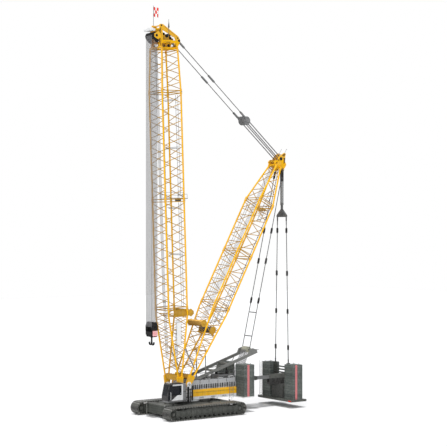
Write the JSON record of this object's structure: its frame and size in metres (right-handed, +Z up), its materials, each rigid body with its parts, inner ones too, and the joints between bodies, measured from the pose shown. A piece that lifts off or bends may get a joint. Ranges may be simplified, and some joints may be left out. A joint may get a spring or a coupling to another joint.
{
  "type": "scale model of a crawler crane with derrick and suspended ballast",
  "caption": "Half-size model of a lattice boom crawler machine with a derrick mast, rear counterweight and suspended ballast tray.",
  "frame": {"origin": "on the ground, on the slewing axis of the upper machinery", "axes": "+X forward along the tracks toward the boom side, +Y to the machine's left, +Z up"},
  "size_m": [13.3325, 5.4, 30.8196],
  "materials": {
    "yellow_paint": "semi-gloss",
    "house_paint": "semi-gloss",
    "dark_paint": "matte",
    "grey_paint": "satin",
    "light_paint": "satin",
    "ballast_slabs": "painted concrete, matte",
    "stay_steel": "galvanised",
    "rope_steel": "stranded wire",
    "sheave_steel": "oiled",
    "cab_glass": "tinted",
    "seat_cover": "matte",
    "flag_cloth": "woven",
    "blank_sign": "satin"
  },
  "bodies": {
    "undercarriage": {"track_left": "dark_paint", "track_right": "dark_paint", "crawler_frame_left": "dark_paint", "crawler_frame_right": "dark_paint", "carbody": "dark_paint", "central_ballast": "ballast_slabs", "slew_ring": "sheave_steel"},
    "superstructure": {"superstructure_frame": "light_paint", "side_decks": "house_paint", "engine_block": "grey_paint", "hoist_winches": "grey_paint", "counterweight_stacks": "ballast_slabs", "cab_shell": "light_paint", "cab_glass": "cab_glass", "cab_seat": "seat_cover", "cab_bracket": "grey_paint", "gantry_ropes": "rope_steel"},
    "cab_door": {"cab_door": "light_paint", "cab_door_glass": "cab_glass"},
    "main_boom": {"boom_foot_section": "yellow_paint", "boom_section_1": "yellow_paint", "boom_section_2": "yellow_paint", "boom_top_section": "yellow_paint", "boom_head": "yellow_paint", "boom_head_sheaves": "sheave_steel", "head_masts": "grey_paint", "warning_flag": "flag_cloth", "boom_winch": "yellow_paint", "boom_platform": "grey_paint", "boom_sign": "blank_sign", "boom_backstops": "grey_paint"},
    "luffing_line": {"boom_pendants": "stay_steel", "floating_block": "dark_paint"},
    "luffing_rope_end": {"luffing_ropes": "rope_steel"},
    "hoist_line": {"hoist_ropes": "rope_steel"},
    "hook_block": {"hook_block": "dark_paint"},
    "hook": {"hook": "sheave_steel"},
    "derrick": {"derrick_foot_section": "yellow_paint", "derrick_section_1": "yellow_paint", "derrick_section_2": "yellow_paint", "derrick_top_section": "yellow_paint", "derrick_head": "yellow_paint", "derrick_winch": "yellow_paint", "rear_pendants": "stay_steel"},
    "gantry": {"gantry": "grey_paint", "gantry_pulleys": "sheave_steel"},
    "ballast": {"suspension_bars": "dark_paint", "equalizer": "dark_paint", "ballast_strands": "stay_steel", "ballast_pallet": "dark_paint", "ballast_stacks": "ballast_slabs", "centre_ballast": "ballast_slabs", "ballast_frame": "dark_paint"},
    "guide_outer": {"guide_beam_outer": "dark_paint"},
    "guide_inner": {"guide_beam_inner": "grey_paint"},
    "backstop_tubes": {"derrick_backstop_tubes": "grey_paint"},
    "backstop_rods": {"derrick_backstop_rods": "stay_steel"}
  },
  "joints": [
    {"name": "slew", "type": "hinge", "parent": "undercarriage", "child": "superstructure", "pos_m": [0, 0, 1.08], "axis": [0, 0, 1], "continuous": true},
    {"name": "cab_door_swing", "type": "hinge", "parent": "superstructure", "child": "cab_door", "pos_m": [1.86, 1.82, 2.01], "axis": [0, 0, 1], "range_deg": [0, 90]},
    {"name": "boom_luff", "type": "hinge", "parent": "superstructure", "child": "main_boom", "pos_m": [1.35, 0, 2.3], "axis": [0, 1, 0], "range_deg": [0, 65]},
    {"name": "hoist_line_swing", "type": "hinge", "parent": "main_boom", "child": "hoist_line", "pos_m": [3.30997, 0, 28.41751], "axis": [0, 1, 0], "range_deg": [-65, 0]},
    {"name": "hook_hoist", "type": "slide", "parent": "hoist_line", "child": "hook_block", "axis": [0, 0, 1], "range_m": [-5.2, 17.5], "deforming": ["hoist_ropes"]},
    {"name": "hook_swivel", "type": "hinge", "parent": "hook_block", "child": "hook", "pos_m": [3.30997, 0, 6.035], "axis": [0, 0, 1], "continuous": true},
    {"name": "pendant_swing", "type": "hinge", "parent": "main_boom", "child": "luffing_line", "pos_m": [1.25276, 0, 28.16915], "axis": [0, 1, 0], "range_deg": [-13.31, 0]},
    {"name": "luffing_payout", "type": "slide", "parent": "luffing_line", "child": "luffing_rope_end", "axis": [-0.7549, 0, -0.6558], "range_m": [0, 20.8994], "deforming": ["luffing_ropes"]},
    {"name": "derrick_luff", "type": "hinge", "parent": "superstructure", "child": "derrick", "pos_m": [0.645, 0, 2.4], "axis": [0, 1, 0], "range_deg": [0, 3.2]},
    {"name": "gantry_luff", "type": "hinge", "parent": "superstructure", "child": "gantry", "pos_m": [0.3, 0, 2.56], "axis": [0, 1, 0], "range_deg": [0, 3.4], "deforming": ["gantry_ropes"]},
    {"name": "ballast_swing", "type": "hinge", "parent": "derrick", "child": "ballast", "pos_m": [-9, 0, 19.15], "axis": [0, 1, 0], "range_deg": [-4, 0]},
    {"name": "guide_swing", "type": "hinge", "parent": "superstructure", "child": "guide_outer", "pos_m": [-5.01, 0, 2.33], "axis": [0, 1, 0], "range_deg": [0, 14.62]},
    {"name": "guide_slide", "type": "slide", "parent": "guide_outer", "child": "guide_inner", "axis": [-1, 0, 0], "range_m": [-0.88537, 0]},
    {"name": "backstop_swing", "type": "hinge", "parent": "superstructure", "child": "backstop_tubes", "pos_m": [-1.14901, 0, 2.4063], "axis": [0, 1, 0], "range_deg": [0, 3.15]},
    {"name": "backstop_slide", "type": "slide", "parent": "backstop_tubes", "child": "backstop_rods", "axis": [0, 0, 1], "range_m": [0, 0.09766]}
  ],
  "couplings": [
    {"joint": "hoist_line_swing", "follows": "boom_luff", "ratio": -1},
    {"joint": "pendant_swing", "follows": "boom_luff", "ratio": -0.20478},
    {"joint": "luffing_payout", "follows": "boom_luff", "m_per_rad": 18.421},
    {"joint": "gantry_luff", "follows": "derrick_luff", "ratio": 1.0602},
    {"joint": "ballast_swing", "follows": "derrick_luff", "ratio": -1},
    {"joint": "guide_swing", "follows": "derrick_luff", "ratio": 4.5663},
    {"joint": "guide_slide", "follows": "derrick_luff", "m_per_rad": -15.835},
    {"joint": "backstop_swing", "follows": "derrick_luff", "ratio": 0.98233},
    {"joint": "backstop_slide", "follows": "derrick_luff", "m_per_rad": 1.7396}
  ]
}
